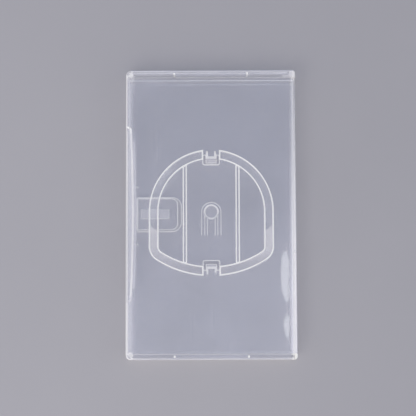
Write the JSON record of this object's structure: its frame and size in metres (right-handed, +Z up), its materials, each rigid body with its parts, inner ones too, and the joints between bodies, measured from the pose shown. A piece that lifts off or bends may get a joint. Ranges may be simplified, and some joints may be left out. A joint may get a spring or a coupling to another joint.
{
  "type": "game disc case",
  "caption": "Clear hinged case that holds a small disc cartridge: cover with a booklet clip, spine with living hinges, tray with a snap-in disc holder, and a clear film sleeve.",
  "frame": {"origin": "middle of the closed case's footprint, on the surface that it lies on", "axes": "+Z up out of the back, +Y from the foot to the head, +X from the opening edge to the spine; the case lies closed on its front cover"},
  "size_m": [0.104, 0.177, 0.014],
  "materials": {
    "clear_moulding": "clear moulded polypropylene with a faint blue haze, smooth and glossy",
    "sleeve_film": "thin clear welded film, glossy and slightly wavy"
  },
  "bodies": {
    "cover": {"front_cover": "clear_moulding", "front_film": "sleeve_film"},
    "spine": {"spine": "clear_moulding", "spine_film": "sleeve_film"},
    "tray": {"back_tray": "clear_moulding", "back_film": "sleeve_film"}
  },
  "joints": [
    {"name": "front_hinge", "type": "hinge", "parent": "cover", "child": "spine", "pos_m": [0.05095, 0, 0.00105], "axis": [0, 1, 0], "range_deg": [0, 90]},
    {"name": "back_hinge", "type": "hinge", "parent": "spine", "child": "tray", "pos_m": [0.05095, 0, 0.01295], "axis": [0, 1, 0], "range_deg": [0, 90]}
  ]
}
